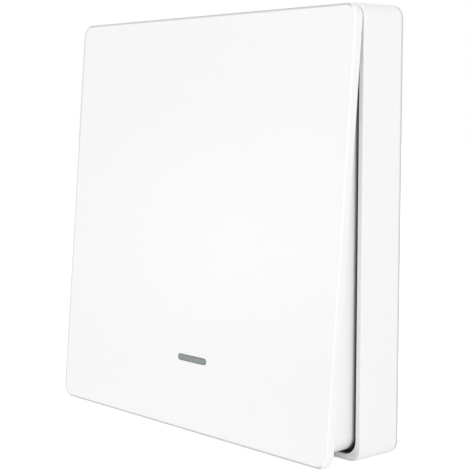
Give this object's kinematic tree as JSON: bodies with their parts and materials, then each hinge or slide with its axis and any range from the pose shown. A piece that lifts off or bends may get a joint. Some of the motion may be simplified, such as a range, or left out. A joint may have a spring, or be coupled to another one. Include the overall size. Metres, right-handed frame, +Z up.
{
  "type": "wireless remote wall switch",
  "caption": "Square single-key wireless wall switch: shallow housing with a wall plate behind, a tilted key hinged at its top over a push switch, and an indicator window.",
  "frame": {"origin": "centre of the back face on the wall plane", "axes": "+X to the right seen from the front, +Y into the wall, +Z up; the key faces -Y"},
  "size_m": [0.086, 0.0198, 0.086],
  "materials": {
    "shell_white": "fine satin moulded plastic",
    "inner_white": "plain moulded plastic",
    "key_white": "smooth semi-matte moulded plastic",
    "window_grey": "smoked clear plastic",
    "foam_grey": "closed-cell foam tape",
    "plated_steel": "zinc plated",
    "board_green": "solder mask over glass laminate",
    "board_blue": "solder mask over glass laminate",
    "cell_steel": "brushed steel can",
    "contact_metal": "plated spring bronze",
    "black_plastic": "moulded compound",
    "resistor_black": "glazed ceramic",
    "tin_plate": "tinned sheet",
    "spring_steel": "drawn wire",
    "antenna_copper": "enamelled copper wire",
    "led_cream": "moulded lens",
    "capacitor_can": "drawn can",
    "plunger_red": "moulded plastic",
    "silicone_clear": "translucent silicone"
  },
  "bodies": {
    "base": {"wall_plate": "shell_white", "adhesive_pads": "foam_grey", "housing": "shell_white", "inner_cover": "inner_white", "cover_screws": "plated_steel", "circuit_board": "board_green", "board_screws": "plated_steel", "coin_cell": "cell_steel", "battery_contact": "contact_metal", "battery_clip": "contact_metal", "switch_base": "black_plastic", "switch_cover": "tin_plate", "indicator_led": "led_cream", "return_springs": "spring_steel", "antenna": "antenna_copper", "radio_module": "board_blue", "radio_shield": "tin_plate", "crystal": "tin_plate", "controller_chip": "black_plastic", "chip_resistors": "resistor_black", "smoothing_capacitor": "capacitor_can"},
    "rocker": {"rocker_frame": "shell_white", "key_plate": "key_white", "light_guide": "window_grey"},
    "plunger": {"switch_plunger": "plunger_red", "plunger_cap": "silicone_clear"}
  },
  "joints": [
    {"name": "key_press", "type": "hinge", "parent": "base", "child": "rocker", "pos_m": [0, -0.0076, 0.0374], "axis": [1, 0, 0], "range_deg": [0, 2], "stiffness_Nm_per_rad": 3, "springref_deg": -2.01, "deforming": ["return_springs"]},
    {"name": "plunger_slide", "type": "slide", "parent": "base", "child": "plunger", "axis": [0, 1, 0], "range_m": [0, 0.0008]}
  ],
  "couplings": [
    {"joint": "plunger_slide", "follows": "key_press", "m_per_rad": 0.0214}
  ]
}
